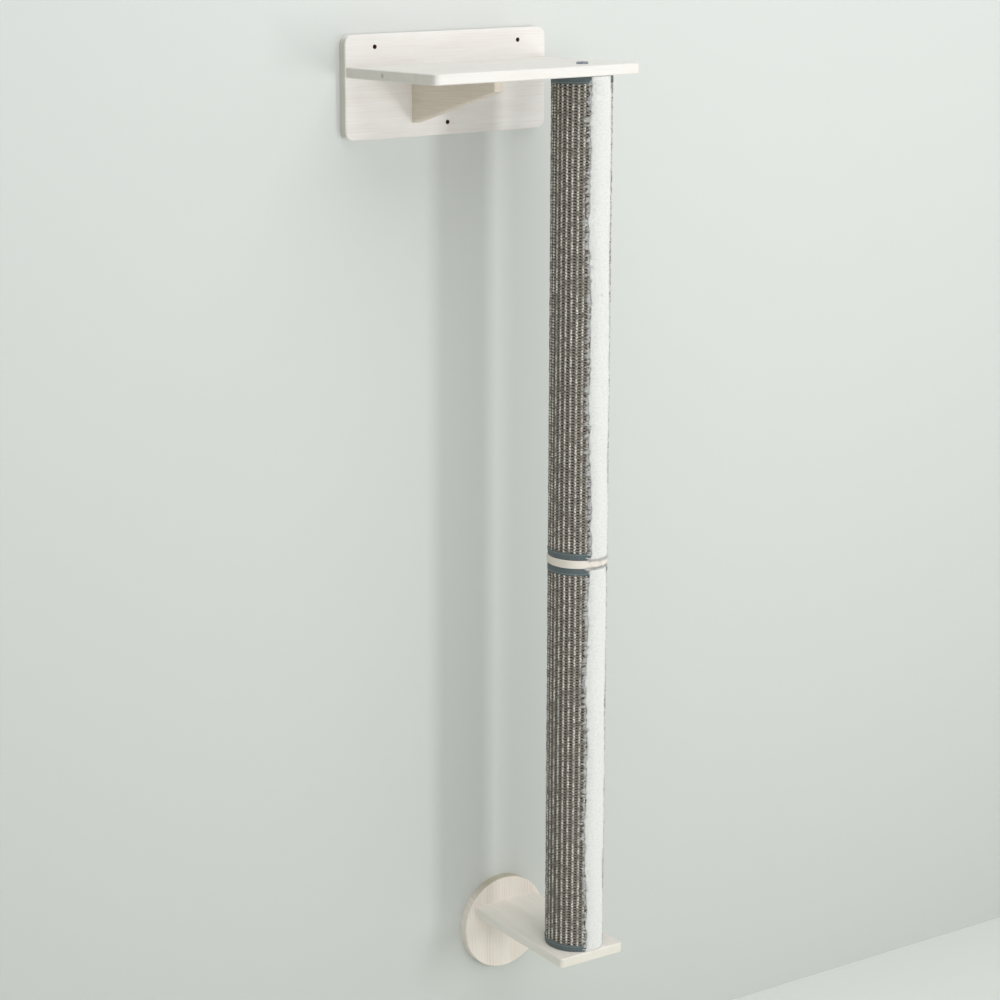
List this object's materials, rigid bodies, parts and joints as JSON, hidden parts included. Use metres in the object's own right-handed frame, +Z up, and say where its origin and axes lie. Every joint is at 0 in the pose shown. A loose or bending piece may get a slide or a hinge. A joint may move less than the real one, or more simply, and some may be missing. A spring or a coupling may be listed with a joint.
{
  "type": "wall mounted cat tree",
  "caption": "Wall-hung cat scratching post: a carpeted round post in two lengths between a small wooden shelf with a wall plate and a narrow foot board on a round wall disc.",
  "frame": {"origin": "on the wall, midway between the two upper screw holes of the wall plate", "axes": "+X to the right as seen from the room, +Y into the wall, +Z up along the post"},
  "size_m": [0.3575, 0.2424, 1.4845],
  "materials": {
    "whitewashed_pine": "whitewashed, matt",
    "pale_plywood": "sanded, matt",
    "wood_filler": "sanded flush, matt",
    "plug_wood": "sawn",
    "cardboard": "wound board",
    "ribbed_carpet": "woven in upright ribs, grey and brown-black",
    "binding_tape": "twill tape, blue-grey",
    "white_plush": "soft pile",
    "zinc_steel": "zinc plated",
    "insert_zinc": "zinc plated"
  },
  "bodies": {
    "root": {"wall_plate": "whitewashed_pine", "shelf_board": "whitewashed_pine", "gusset_bracket": "whitewashed_pine", "foot_board": "whitewashed_pine", "wall_disc": "whitewashed_pine", "spacer_disc": "pale_plywood", "shelf_screws": "zinc_steel", "gusset_back_screws": "zinc_steel", "gusset_top_screw": "zinc_steel", "foot_board_screws": "zinc_steel", "gusset_screw_filler": "wood_filler", "top_bolt": "zinc_steel", "foot_bolt": "zinc_steel", "joining_stud": "zinc_steel", "upper_tube": "cardboard", "upper_tube_bottom_plug": "plug_wood", "upper_tube_top_plug": "plug_wood", "upper_bottom_insert": "insert_zinc", "upper_top_insert": "insert_zinc", "upper_plug_nails": "zinc_steel", "upper_carpet": "ribbed_carpet", "upper_carpet_bottom_tape": "binding_tape", "upper_carpet_top_tape": "binding_tape", "upper_plush_strip": "white_plush", "lower_tube": "cardboard", "lower_tube_bottom_plug": "plug_wood", "lower_tube_top_plug": "plug_wood", "lower_bottom_insert": "insert_zinc", "lower_top_insert": "insert_zinc", "lower_plug_nails": "zinc_steel", "lower_carpet": "ribbed_carpet", "lower_carpet_bottom_tape": "binding_tape", "lower_carpet_top_tape": "binding_tape", "lower_plush_strip": "white_plush"}
  },
  "joints": []
}
